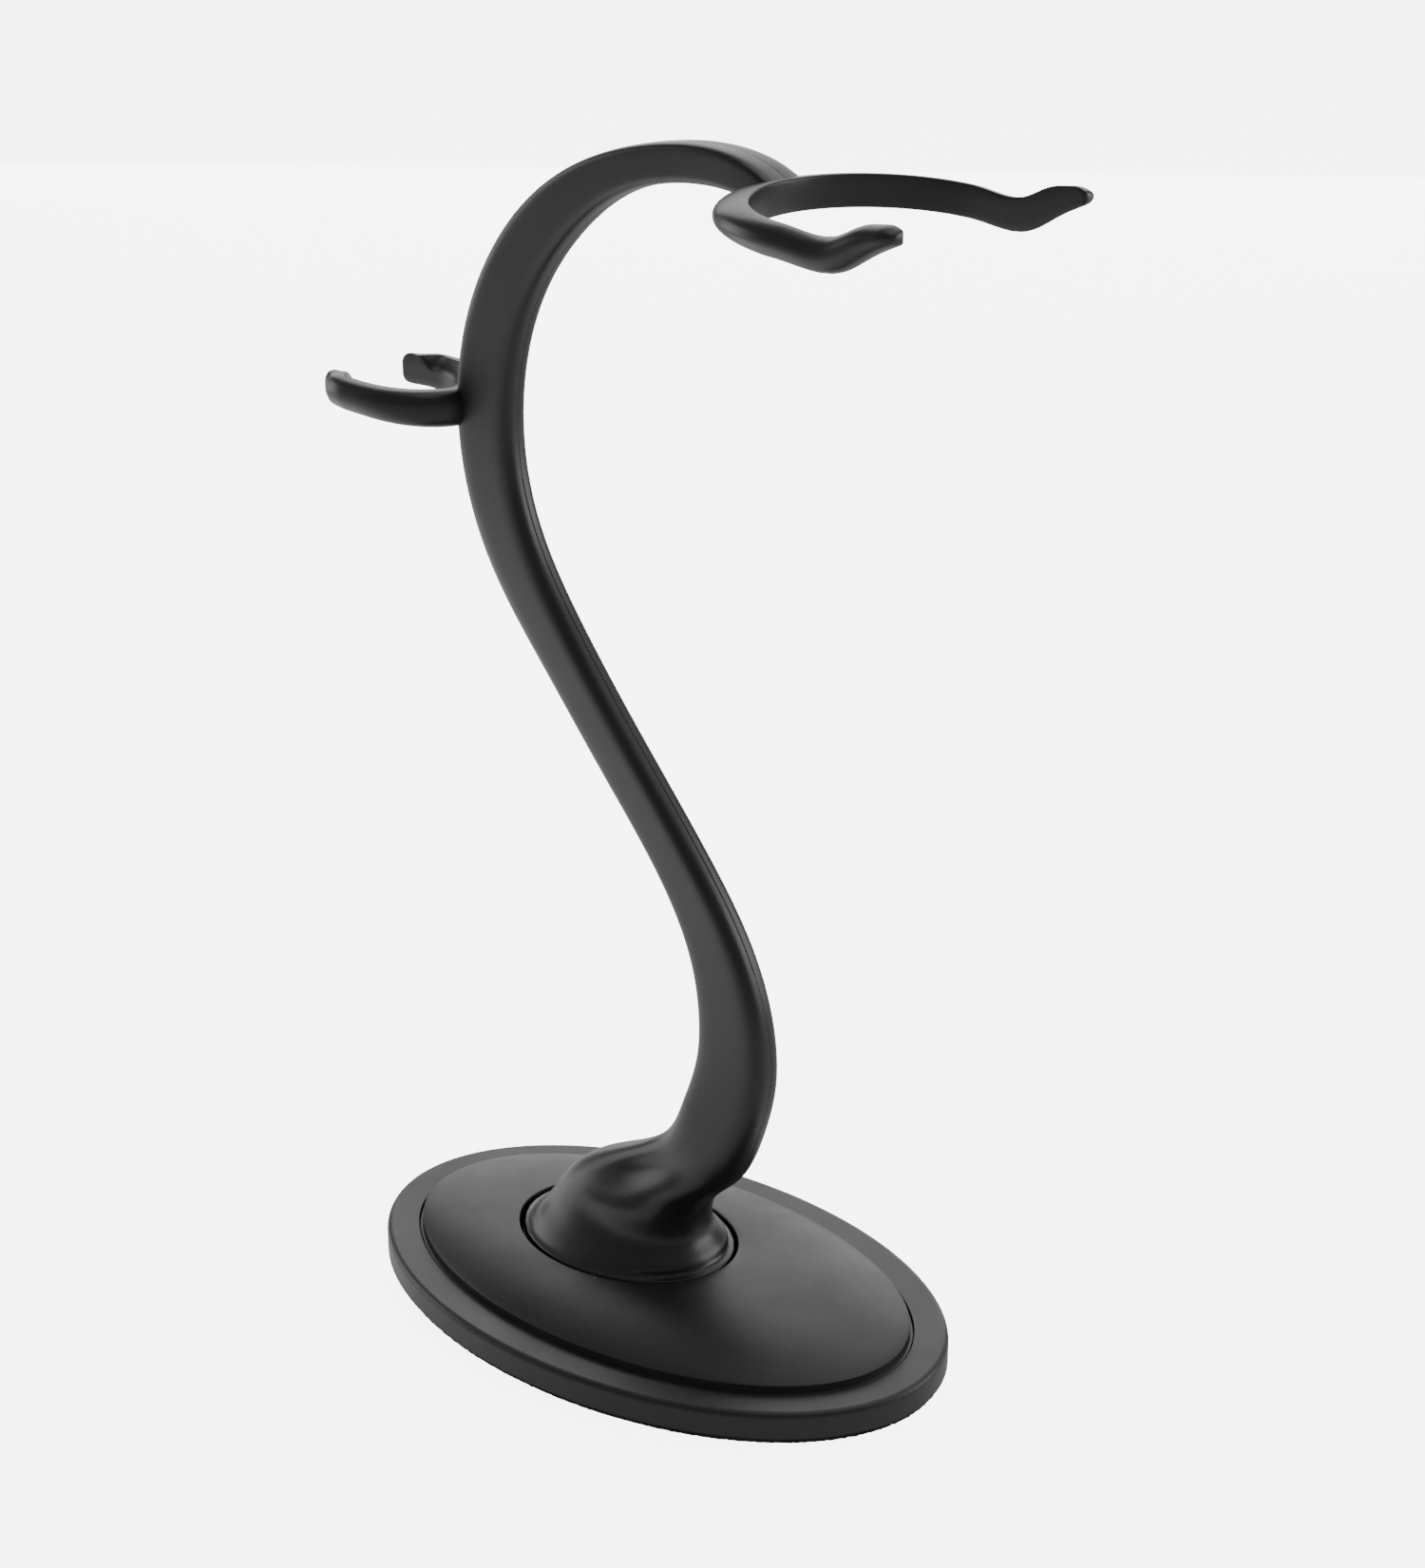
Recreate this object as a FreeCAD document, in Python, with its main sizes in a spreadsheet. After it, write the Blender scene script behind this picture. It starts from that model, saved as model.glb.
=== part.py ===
"""A headphone stand: oval weighted base, S-shaped stem, front fork and rear hook.

Millimetres. +Z is up, +X points where the front fork points, and the stand is
symmetrical about Y = 0. The origin is the centre of the underside of the base.
"""
import FreeCAD, Part
import math
import os
import Sketcher

Vector = FreeCAD.Vector
Rotation = FreeCAD.Rotation
Placement = FreeCAD.Placement

SIZES = {
    "base_length": 170.0, "base_width": 108.0, "rim_top": 8.5, "rim_band": 8.7, "rim_edge": 1.5,
    "pad_thick": 1.5, "pad_inset": 0.9, "film_thick": 0.2, "film_inset": 2.5,
    "floor_thick": 2.0, "ledge_width": 2.0, "joint_gap": 0.2,
    "core_outer": 3.0, "core_inner": 5.4, "core_depth": 4.2,
    "cover_thick": 2.2, "lip_width": 1.0, "lip_drop": 0.1, "riser_top": 10.3, "dome_top": 16.2,
    "hole_shift": -10.3, "hole_length": 65.2, "hole_width": 49.8,
    "plate_length": 122.0, "plate_width": 62.0, "plate_thick": 4.0,
    "collar_length": 61.4, "collar_width": 46.0, "collar_top": 15.7, "collar_thick": 2.8,
    "stub_length": 54.0, "stub_width": 39.0,
    "stem_bolt_bore": 5.4, "stem_bolt_shank": 5.0, "stem_bolt_head": 9.4, "stem_bolt_length": 11.2,
    "insert_outer": 6.8, "insert_bore": 5.1, "insert_length": 8.0,
    "weight_boss": 6.0, "weight_boss_top": 7.5, "weight_hole": 7.0, "weight_x": 49.0, "weight_y": 9.0,
    "tapping_shank": 2.6, "tapping_bore": 2.7, "pan_head": 8.2, "pan_height": 1.8,
    "cover_boss": 6.0, "cover_x": 59.4, "cover_y": 20.9, "cover_head": 5.4, "cover_screw_length": 8.6,
    "tenon": 4.0, "tenon_length": 9.0, "socket": 4.1,
}

# Stations of the stem from the fork down to the neck: centre x, centre z, half depth, half thickness.
BLADE = [
    (38.5, 290.4, 3.2, 4.9),
    (34.0, 291.4, 3.7, 4.7),
    (22.0, 293.6, 4.4, 4.4),
    (8.0, 293.1, 4.6, 4.25),
    (-8.0, 289.5, 5.1, 4.25),
    (-26.0, 280.0, 6.8, 4.25),
    (-42.0, 263.5, 8.2, 4.25),
    (-51.5, 242.5, 9.0, 4.25),
    (-53.2, 217.5, 9.0, 4.25),
    (-46.8, 195.5, 8.4, 4.25),
    (-30.5, 171.5, 7.2, 4.25),
    (-9.0, 145.5, 6.8, 4.25),
    (10.5, 122.0, 7.0, 4.3),
    (21.5, 104.0, 8.4, 4.5),
    (26.2, 88.5, 9.9, 4.8),
    (26.5, 73.0, 10.8, 5.4),
    (22.7, 60.0, 10.9, 6.4),
]

# Stations of the foot, from the neck down to the collar: rear point x, z, front point x, z,
# half thickness, how much narrower the rear is, and how deep the hollow on each flank is.
FOOT = [
    (3.5, 49.6, 27.2, 43.6, 8.4, 0.25, 0.10),
    (-6.0, 43.4, 21.8, 38.4, 10.8, 0.28, 0.22),
    (-15.5, 38.8, 16.6, 33.2, 13.0, 0.25, 0.28),
    (-24.2, 33.5, 14.3, 28.6, 14.6, 0.20, 0.22),
    (-29.9, 27.6, 13.9, 24.7, 15.8, 0.12, 0.10),
    (-33.4, 22.3, 15.2, 21.0, 17.2, 0.05, 0.02),
    (-36.4, 18.3, 17.6, 18.0, 19.6, 0.0, 0.0),
]

STEM_BOLTS = [(-27.0, 0.0), (2.0, 9.5), (2.0, -9.5)]
BLADE_POWER = 3.0
FOOT_POWER = 2.3
SECTION_POINTS = 24

# The yokes: U shapes whose inner outline is half an ellipse and two straight arms.
# low and high are the underside and top at x = 0 of the plane that a yoke lies in.
FORK = {"centre": 67.3, "reach": 26.0, "half_gap": 32.0, "toe_in": 0.03, "kink": 80.0, "tip": 97.0,
        "low": 289.2, "high": 296.6, "slope": -0.097, "root_wall": 8.6, "arm_wall": 5.0, "way": 1.0,
        "round": 9.0, "power": 2.1, "bevel_width": 0.3, "bevel_drop": 0.4,
        "root_bevel": 0.3, "root_drop": 0.0}
HOOK = {"centre": -85.5, "reach": 14.5, "half_gap": 12.3, "toe_in": 0.0, "kink": -88.5, "tip": -98.4,
        "low": 217.35, "high": 225.1, "slope": -0.088, "root_wall": 11.9, "arm_wall": 8.4, "way": -1.0,
        "round": 3.8, "power": 2.4, "bevel_width": 3.5, "bevel_drop": 1.8,
        "root_bevel": 7.0, "root_drop": 1.6}
# Past the kink: share of the way out, rise of the top, rise of the underside,
# share of the wall, share of the bevel.
FORK_TIP = [(0.0, 0.2, 0.0, 1.0, 1.0), (0.2, 1.5, 0.9, 1.0, 1.0), (0.45, 3.3, 3.2, 1.0, 1.0),
            (0.75, 3.8, 6.0, 0.88, 1.0), (0.93, 3.3, 7.9, 0.66, 1.0), (1.0, 2.3, 8.6, 0.5, 1.0)]
HOOK_TIP = [(0.0, 0.0, 0.0, 0.95, 1.0), (0.28, 0.0, 0.0, 0.84, 0.1), (0.55, -0.1, -0.1, 0.62, 0.1),
            (0.78, -0.2, 0.0, 0.42, 0.1), (0.93, -1.1, 0.7, 0.28, 0.1), (1.0, -2.4, 1.9, 0.16, 0.1)]


def make_sheet(doc):
    sheet = doc.addObject("Spreadsheet::Sheet", "Sizes")
    for row, (alias, value) in enumerate(SIZES.items(), start=1):
        sheet.set("A%d" % row, alias)
        sheet.set("B%d" % row, str(value))
        sheet.setAlias("B%d" % row, alias)
    doc.recompute()
    return sheet


def size(alias):
    return "Sizes." + alias


def read(doc, alias):
    return float(doc.Sizes.get(alias))


def bind(obj, **expressions):
    for name, expression in expressions.items():
        obj.setExpression(name, expression)
    return obj


def make_body(doc, label, height):
    """An empty body whose sketches stand at the given height (an expression)."""
    body = doc.addObject("PartDesign::Body", label)
    body.Label = label
    body.setExpression("Placement.Base.z", height)
    return body


def plane(body, role):
    return next(item for item in body.Origin.OriginFeatures if item.Role == role)


def make_sketch(body, name, role="XY_Plane", height="0"):
    sketch = body.newObject("Sketcher::SketchObject", name)
    sketch.AttachmentSupport = [(plane(body, role), "")]
    sketch.MapMode = "FlatFace"
    if height != "0":
        sketch.setExpression("AttachmentOffset.Base.z", height)
    return sketch


def add_ellipse(sketch, length, width, shift=None):
    """An ellipse along X whose full axes are the expressions length and width."""
    ellipse = sketch.addGeometry(Part.Ellipse(Vector(60, 0, 0), Vector(0, 40, 0), Vector(0, 0, 0)), False)
    sketch.exposeInternalGeometry(ellipse)
    major, minor = ellipse + 1, ellipse + 2
    sketch.addConstraint(Sketcher.Constraint("Horizontal", major))
    long_axis = sketch.addConstraint(Sketcher.Constraint("Distance", major, 120.0))
    short_axis = sketch.addConstraint(Sketcher.Constraint("Distance", minor, 80.0))
    sketch.setExpression("Constraints[%d]" % long_axis, length)
    sketch.setExpression("Constraints[%d]" % short_axis, width)
    if shift is None:
        sketch.addConstraint(Sketcher.Constraint("Coincident", ellipse, 3, -1, 1))
    else:
        sketch.addConstraint(Sketcher.Constraint("PointOnObject", ellipse, 3, -1))
        along = sketch.addConstraint(Sketcher.Constraint("DistanceX", -1, 1, ellipse, 3, -5.0))
        sketch.setExpression("Constraints[%d]" % along, shift)
    return sketch


def add_circle(sketch, x, y, diameter):
    """A circle at x, y (expressions, or numbers for a fixed place) of a bound diameter."""
    circle = sketch.addGeometry(Part.Circle(Vector(10, 10, 0), Vector(0, 0, 1), 3.0), False)
    for kind, place in (("DistanceX", x), ("DistanceY", y)):
        index = sketch.addConstraint(Sketcher.Constraint(kind, -1, 1, circle, 3, 10.0))
        sketch.setExpression("Constraints[%d]" % index, str(place))
    index = sketch.addConstraint(Sketcher.Constraint("Diameter", circle, 6.0))
    sketch.setExpression("Constraints[%d]" % index, diameter)
    return sketch


def pad(body, sketch, length, name):
    feature = body.newObject("PartDesign::Pad", name)
    feature.Profile = sketch
    feature.setExpression("Length", length)
    return feature


def pocket(body, sketch, length, name, downwards=True):
    feature = body.newObject("PartDesign::Pocket", name)
    feature.Profile = sketch
    feature.Reversed = not downwards
    feature.setExpression("Length", length)
    return feature


def countersunk_holes(body, sketch, name, bore, head):
    """Countersunk through holes that open downwards from the body's bottom plane."""
    body.Document.recompute()
    feature = body.newObject("PartDesign::Hole", name)
    feature.Profile = sketch
    feature.Reversed = True
    feature.DepthType = "ThroughAll"
    feature.Threaded = False
    feature.HoleCutType = "Countersink"
    feature.HoleCutCustomValues = True
    feature.HoleCutCountersinkAngle = 90.0
    feature.setExpression("Diameter", bore)
    feature.setExpression("HoleCutDiameter", head)
    return feature


def four_places(x, y):
    """Expressions of a rectangle of four places."""
    return [(sx + "(" + x + ")", sy + "(" + y + ")") for sx in ("", "-") for sy in ("", "-")]


def make_base_frame(doc):
    """The oval tray: rim, rebate for the cover, floor, hollow under the rim and bosses."""
    body = make_body(doc, "base_frame", "Sizes.pad_thick + Sizes.film_thick")
    high = "(Sizes.rim_top - Sizes.pad_thick - Sizes.film_thick)"
    outline = add_ellipse(make_sketch(body, "rim_outline"), size("base_length"), size("base_width"))
    pad(body, outline, high, "rim")
    rebate = make_sketch(body, "rebate_outline", height=high)
    add_ellipse(rebate, "Sizes.base_length - 2 * Sizes.rim_band", "Sizes.base_width - 2 * Sizes.rim_band")
    pocket(body, rebate, size("cover_thick"), "rebate")
    tray = make_sketch(body, "tray_outline", height=high)
    inset = "2 * (Sizes.rim_band + Sizes.ledge_width)"
    add_ellipse(tray, "Sizes.base_length - " + inset, "Sizes.base_width - " + inset)
    pocket(body, tray, high + " - Sizes.floor_thick", "tray")
    core = make_sketch(body, "core_outline")
    add_ellipse(core, "Sizes.base_length - 2 * Sizes.core_outer", "Sizes.base_width - 2 * Sizes.core_outer")
    both = "2 * (Sizes.core_outer + Sizes.core_inner)"
    add_ellipse(core, "Sizes.base_length - " + both, "Sizes.base_width - " + both)
    pocket(body, core, size("core_depth"), "core", downwards=False)
    bosses = make_sketch(body, "boss_outline", height=size("floor_thick"))
    for x, y in four_places(size("weight_x"), size("weight_y")):
        add_circle(bosses, x, y, size("weight_boss"))
    boss_rise = "Sizes.weight_boss_top - Sizes.pad_thick - Sizes.film_thick - Sizes.floor_thick"
    pad(body, bosses, boss_rise, "bosses")
    pilots = make_sketch(body, "pilot_outline", height="%s - 1" % high)
    for x, y in four_places(size("weight_x"), size("weight_y")):
        add_circle(pilots, x, y, size("tapping_bore"))
    pocket(body, pilots, high + " - 1 - Sizes.floor_thick / 2", "pilots")
    access = make_sketch(body, "access_outline")
    for x, y in STEM_BOLTS:
        add_circle(access, x, y, "Sizes.stem_bolt_head + 2.6")
    pocket(body, access, size("floor_thick"), "access", downwards=False)
    cover_holes = make_sketch(body, "cover_hole_outline")
    for x, y in four_places(size("cover_x"), size("cover_y")):
        add_circle(cover_holes, x, y, "Sizes.tapping_shank + 0.6")
    countersunk_holes(body, cover_holes, "cover_holes", "Sizes.tapping_shank + 0.6", "Sizes.cover_head + 0.2")
    doc.recompute()
    top = body.Shape.BoundBox.ZMax
    rim_edges = [(edge.Length, index) for index, edge in enumerate(body.Shape.Edges, start=1)
                 if abs(edge.BoundBox.ZMin - top) < 1e-4 and abs(edge.BoundBox.ZMax - top) < 1e-4]
    fillet = body.newObject("PartDesign::Fillet", "rim_rounding")
    fillet.Base = (body.Tip if body.Tip != fillet else fillet.BaseFeature, ["Edge%d" % max(rim_edges)[1]])
    fillet.setExpression("Radius", size("rim_edge"))
    return body


def make_counterweight(doc):
    """Steel plate on the floor of the tray, with countersunk holes for the stem's screws."""
    body = make_body(doc, "counterweight", "Sizes.pad_thick + Sizes.film_thick + Sizes.floor_thick")
    outline = add_ellipse(make_sketch(body, "plate_outline"), size("plate_length"), size("plate_width"))
    pad(body, outline, size("plate_thick"), "plate")
    holes = make_sketch(body, "boss_hole_outline")
    for x, y in four_places(size("weight_x"), size("weight_y")):
        add_circle(holes, x, y, size("weight_hole"))
    pocket(body, holes, size("plate_thick"), "boss_holes", downwards=False)
    bolts = make_sketch(body, "bolt_outline")
    for x, y in STEM_BOLTS:
        add_circle(bolts, x, y, size("stem_bolt_bore"))
    countersunk_holes(body, bolts, "bolt_holes", size("stem_bolt_bore"), "Sizes.stem_bolt_head + 0.3")
    return body


def make_foot_pad(doc):
    """The foam sheet that the stand rests on."""
    body = make_body(doc, "foot_pad", "0 mm")
    outline = add_ellipse(make_sketch(body, "pad_outline"), "Sizes.base_length - 2 * Sizes.pad_inset",
                          "Sizes.base_width - 2 * Sizes.pad_inset")
    pad(body, outline, size("pad_thick"), "foam")
    return body


def make_pad_adhesive(doc):
    """The sticky film between the foam and the base."""
    body = make_body(doc, "pad_adhesive", size("pad_thick"))
    outline = add_ellipse(make_sketch(body, "film_outline"), "Sizes.base_length - 2 * Sizes.film_inset",
                          "Sizes.base_width - 2 * Sizes.film_inset")
    pad(body, outline, size("film_thick"), "film")
    return body


def dome_level(share):
    """How much of the dome's rise is left at a share of the way from its middle to its edge."""
    return (1.0 - share ** 4) ** 0.9


def make_cover_blank(doc, name, length, width, bottom, top):
    """A closed dome: ellipses that shrink as they rise, lofted, over a straight riser."""
    shares = (1.0, 0.985, 0.95, 0.87, 0.74, 0.58, 0.40, 0.22)
    rings = []
    for index, share in enumerate(shares):
        ring = doc.addObject("Part::Ellipse", "%s_ring_%d" % (name, index))
        bind(ring, MajorRadius="(%s) / 2 * %g" % (length, share),
             MinorRadius="(%s) / 2 * %g" % (width, share))
        level = "%s + (%s - %s) * %.4f" % (bottom, top, bottom, dome_level(share))
        ring.setExpression("Placement.Base.z", level)
        rings.append(ring)
    dome = doc.addObject("Part::Loft", name + "_dome")
    dome.Sections = rings
    dome.Solid = True
    dome.Ruled = False
    return dome


def make_slab(doc, name, length, width, bottom, top, shift="0"):
    """A straight-walled oval block."""
    ring = doc.addObject("Part::Ellipse", name + "_ring")
    bind(ring, MajorRadius="(%s) / 2" % length, MinorRadius="(%s) / 2" % width)
    ring.setExpression("Placement.Base.x", shift)
    ring.setExpression("Placement.Base.z", bottom)
    block = doc.addObject("Part::Extrusion", name)
    block.Base = ring
    block.DirMode = "Custom"
    block.Dir = Vector(0, 0, 1)
    block.Solid = True
    block.setExpression("LengthFwd", "%s - (%s)" % (top, bottom))
    return block


def make_rod(doc, name, diameter, length, place=None):
    rod = doc.addObject("Part::Cylinder", name)
    bind(rod, Radius="(%s) / 2" % diameter, Height=length)
    if place is not None:
        rod.Placement = place
    return rod


def group(doc, kind, name, shapes):
    joined = doc.addObject(kind, name)
    joined.Shapes = shapes
    return joined


def cut(doc, name, base, tool):
    result = doc.addObject("Part::Cut", name)
    result.Base = base
    result.Tool = tool
    return result


def make_dome_cover(doc):
    """The dome: flush lip in the rebate, riser, crowned top, oval hole, bosses underneath."""
    lip_length = "(Sizes.base_length - 2 * Sizes.rim_band - 2 * Sizes.joint_gap)"
    lip_width = "(Sizes.base_width - 2 * Sizes.rim_band - 2 * Sizes.joint_gap)"
    riser_length = "(%s - 2 * Sizes.lip_width)" % lip_length
    riser_width = "(%s - 2 * Sizes.lip_width)" % lip_width
    inner_length = "(%s - 2 * Sizes.cover_thick)" % riser_length
    inner_width = "(%s - 2 * Sizes.cover_thick)" % riser_width
    low = "(Sizes.rim_top - Sizes.cover_thick)"
    lip = make_slab(doc, "cover_lip", lip_length, lip_width, low, "(Sizes.rim_top - Sizes.lip_drop)")
    riser = make_slab(doc, "cover_riser", riser_length, riser_width, low, "Sizes.riser_top")
    crown = make_cover_blank(doc, "cover_outer", riser_length, riser_width,
                             "Sizes.riser_top", "Sizes.dome_top")
    outside = group(doc, "Part::MultiFuse", "cover_outside", [lip, riser, crown])
    hollow = make_slab(doc, "cover_hollow", inner_length, inner_width, low,
                       "(Sizes.riser_top - Sizes.cover_thick)")
    vault = make_cover_blank(doc, "cover_inner", inner_length, inner_width,
                             "(Sizes.riser_top - Sizes.cover_thick)", "(Sizes.dome_top - Sizes.cover_thick)")
    mouth = make_slab(doc, "cover_mouth", size("hole_length"), size("hole_width"), "0 mm", "30 mm",
                      size("hole_shift"))
    inside = group(doc, "Part::MultiFuse", "cover_inside", [hollow, vault, mouth])
    shell = cut(doc, "cover_shell", outside, inside)
    bosses, bores = [], []
    boss_low = "Sizes.pad_thick + Sizes.film_thick + Sizes.floor_thick + 0.1"
    for index, (x, y) in enumerate(four_places(size("cover_x"), size("cover_y"))):
        for kind, across, high, store in (("boss", "Sizes.cover_boss", 7.2, bosses),
                                          ("bore", "Sizes.tapping_bore", 6.4, bores)):
            rod = make_rod(doc, "cover_%s_%d" % (kind, index), across, "%g mm" % high)
            rod.setExpression("Placement.Base.x", x)
            rod.setExpression("Placement.Base.y", y)
            rod.setExpression("Placement.Base.z", boss_low)
            store.append(rod)
    whole = group(doc, "Part::MultiFuse", "cover_with_bosses", [shell] + bosses)
    cover = cut(doc, "dome_cover", whole, group(doc, "Part::MultiFuse", "cover_bores", bores))
    cover.Label = "dome_cover"
    return cover


def closed_wire(points):
    curve = Part.BSplineCurve()
    curve.interpolate(Points=points, PeriodicFlag=True)
    return Part.Wire([curve.toShape()])


def rounded(angle, half_u, half_v, power):
    """A point of a superellipse."""
    c, s = math.cos(angle), math.sin(angle)
    u = half_u * math.copysign(abs(c) ** (2.0 / power), c)
    v = half_v * math.copysign(abs(s) ** (2.0 / power), s)
    return u, v


def station_wire(rear, front, half_thick, power, taper=0.0, hollow=0.0):
    """A section through rear and front points of the XZ plane, as thick as given across Y."""
    centre = (rear + front) * 0.5
    across = (front - rear) * 0.5
    points = []
    for step in range(SECTION_POINTS):
        angle = 2.0 * math.pi * step / SECTION_POINTS
        u, v = rounded(angle, 1.0, half_thick, power)
        squeeze = 1.0 - taper * (1.0 - u) / 2.0 - hollow * math.exp(-((u + 0.35) / 0.38) ** 2)
        points.append(centre + across * u + Vector(0, v * squeeze, 0))
    return closed_wire(points)


def blade_wires():
    """Sections square to the line through the blade's stations."""
    centres = [Vector(x, 0, z) for x, z, _, _ in BLADE]
    line = Part.BSplineCurve()
    line.interpolate(Points=centres)
    wires = []
    for centre, (_, _, half_depth, half_thick) in zip(centres, BLADE):
        along = line.tangent(line.parameter(centre))[0]
        forward = Vector(-along.z, 0, along.x) * -half_depth
        wires.append(station_wire(centre + forward, centre - forward, half_thick, BLADE_POWER))
    return wires


def make_stem_blank(doc):
    """Blade and trumpet foot in one loft, down to the oval collar."""
    shift = read(doc, "hole_shift")
    collar_top = read(doc, "collar_top")
    collar_half = read(doc, "collar_length") / 2.0
    wires = blade_wires()
    for rear_x, rear_z, front_x, front_z, half_thick, taper, hollow in FOOT:
        wires.append(station_wire(Vector(rear_x, 0, rear_z), Vector(front_x, 0, front_z), half_thick,
                                  FOOT_POWER, taper, hollow))
    for widening, rise in ((0.945, 0.5), (0.985, -0.6)):
        rear = Vector(shift - collar_half * widening, 0, collar_top + rise)
        front = Vector(shift + collar_half * widening, 0, collar_top + rise)
        wires.append(station_wire(rear, front, read(doc, "collar_width") / 2.0 * widening, 2.0))
    blank = doc.addObject("Part::Feature", "stem_blank")
    blank.Shape = Part.makeLoft(wires, True, False, False)
    return blank


def half_yoke(shape, tips):
    """Stations of one arm from root to tip: inner face, outward direction, heights, wall and bevel."""
    stations = []
    way = shape["way"]
    bevel = (shape["bevel_width"], shape["bevel_drop"])

    def heights(x):
        low = shape["low"] + shape["slope"] * x
        return low, low + shape["high"] - shape["low"]

    for step in range(0, 7):
        turn = math.radians(15.0 * step)
        bend = math.cos(turn) ** 2
        x = shape["centre"] - way * shape["reach"] * math.cos(turn)
        y = shape["half_gap"] * math.sin(turn)
        outward = Vector(-way * math.cos(turn) / shape["reach"], math.sin(turn) / shape["half_gap"], 0)
        outward.normalize()
        low, high = heights(x)
        wall = shape["root_wall"] + (shape["arm_wall"] - shape["root_wall"]) * math.sin(turn) ** 4
        width = bevel[0] + (shape["root_bevel"] - bevel[0]) * bend
        stations.append((x, y, outward, low - shape["root_drop"] * bend, high, wall, width, bevel[1]))
    low, high = heights(shape["kink"])
    for share, top_rise, under_rise, wall_share, bevel_share in tips:
        x = shape["kink"] + (shape["tip"] - shape["kink"]) * share
        y = shape["half_gap"] - shape["toe_in"] * abs(x - shape["centre"])
        stations.append((x, y, Vector(0, 1, 0), low + under_rise, high + top_rise,
                         shape["arm_wall"] * wall_share, bevel[0] * bevel_share, bevel[1] * bevel_share))
    return stations


def yoke_wire(shape, x, y, outward, low, high, wall, bevel_width, bevel_drop):
    """A D section: flat inner face bevelled at its top, rounded outside."""
    middle = (low + high) / 2.0
    half = (high - low) / 2.0
    flat = max(wall - shape["round"], 0.5)
    inner = Vector(x, y, 0)
    points = []
    for step in range(13):
        angle = math.pi * step / 12.0 - math.pi / 2.0
        out, up = rounded(angle, wall - flat, half, shape["power"])
        points.append(inner + outward * (flat + out) + Vector(0, 0, middle + up))
    curve = Part.BSplineCurve()
    curve.interpolate(Points=points)
    corners = [points[-1], inner + outward * bevel_width + Vector(0, 0, high),
               inner + Vector(0, 0, high - bevel_drop), inner + Vector(0, 0, low), points[0]]
    lines = [Part.makeLine(start, end) for start, end in zip(corners, corners[1:])]
    return Part.Wire([curve.toShape()] + lines)


def make_yoke_blank(doc, name, shape, tips):
    """A U-shaped yoke lofted from one tip round the root to the other."""
    arm = half_yoke(shape, tips)
    mirrored = [(x, -y, Vector(out.x, -out.y, 0), *rest) for x, y, out, *rest in reversed(arm[1:])]
    stations = mirrored + arm
    blank = doc.addObject("Part::Feature", name)
    blank.Shape = Part.makeLoft([yoke_wire(shape, *station) for station in stations], True, False, False)
    return blank


def aimed(x, z, direction):
    """A placement at x, z in the middle plane whose Z axis points along a direction."""
    return Placement(Vector(x, 0, z), Rotation(Vector(0, 0, 1), direction))


def make_upper_parts(doc):
    """Stem, front fork and rear hook, with the round tenons that key them together."""
    stem_blank = make_stem_blank(doc)
    fork_blank = make_yoke_blank(doc, "fork_blank", FORK, FORK_TIP)
    hook_blank = make_yoke_blank(doc, "hook_blank", HOOK, HOOK_TIP)
    fork_place = aimed(37.0, 289.6, Vector(-1, 0, 0.12))
    hook_place = aimed(-65.0, 226.4, Vector(1, 0, 0))
    fork_tenon = make_rod(doc, "fork_tenon", size("tenon"), "Sizes.tenon_length + 4", fork_place)
    hook_tenon = make_rod(doc, "hook_tenon", size("tenon"), "Sizes.tenon_length + 2", hook_place)
    fork_socket = make_rod(doc, "fork_socket", size("socket"), "Sizes.tenon_length + 4.2", fork_place)
    hook_socket = make_rod(doc, "hook_socket", size("socket"), "Sizes.tenon_length + 2.2", hook_place)
    fork = group(doc, "Part::MultiFuse", "front_fork", [fork_blank, fork_tenon])
    trimmed_hook = cut(doc, "hook_trimmed", hook_blank, stem_blank)
    hook = group(doc, "Part::MultiFuse", "rear_hook", [trimmed_hook, hook_tenon])
    collar = make_slab(doc, "collar", size("collar_length"), size("collar_width"),
                       "(Sizes.collar_top - Sizes.collar_thick)", "Sizes.collar_top", size("hole_shift"))
    stub_low = "(Sizes.pad_thick + Sizes.film_thick + Sizes.floor_thick + Sizes.plate_thick)"
    stub = make_slab(doc, "stub", size("stub_length"), size("stub_width"), stub_low,
                     "(Sizes.collar_top - Sizes.collar_thick)", size("hole_shift"))
    whole = group(doc, "Part::MultiFuse", "stem_whole", [stem_blank, collar, stub])
    pockets = [fork_blank, fork_socket, hook_socket]
    for index, (x, y) in enumerate(STEM_BOLTS):
        hole = make_rod(doc, "insert_hole_%d" % index, "Sizes.insert_outer + 0.1", "Sizes.insert_length + 2")
        hole.Placement = Placement(Vector(x, y, 0), Rotation())
        hole.setExpression("Placement.Base.z", stub_low)
        pockets.append(hole)
    stem = cut(doc, "stem", whole, group(doc, "Part::MultiFuse", "stem_pockets", pockets))
    for obj in (stem, fork, hook):
        obj.Label = obj.Name
    return [stem, fork, hook]


def turned(profile):
    """A body turned about Z from a profile of (radius, height) points."""
    face = Part.Face(Part.makePolygon([Vector(r, 0, h) for r, h in profile + profile[:1]]))
    return face.revolve(Vector(0, 0, 0), Vector(0, 0, 1), 360.0)


def make_repeated(doc, label, shape, places, height):
    """One node that holds the same small piece at several places."""
    node = doc.addObject("Part::Feature", label)
    node.Label = label
    node.Shape = Part.makeCompound([shape.translated(Vector(x, y, 0)) for x, y in places])
    node.Placement = Placement(Vector(0, 0, height), Rotation())
    return node


def corner_places(x, y):
    return [(sx * x, sy * y) for sx in (1, -1) for sy in (1, -1)]


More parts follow.
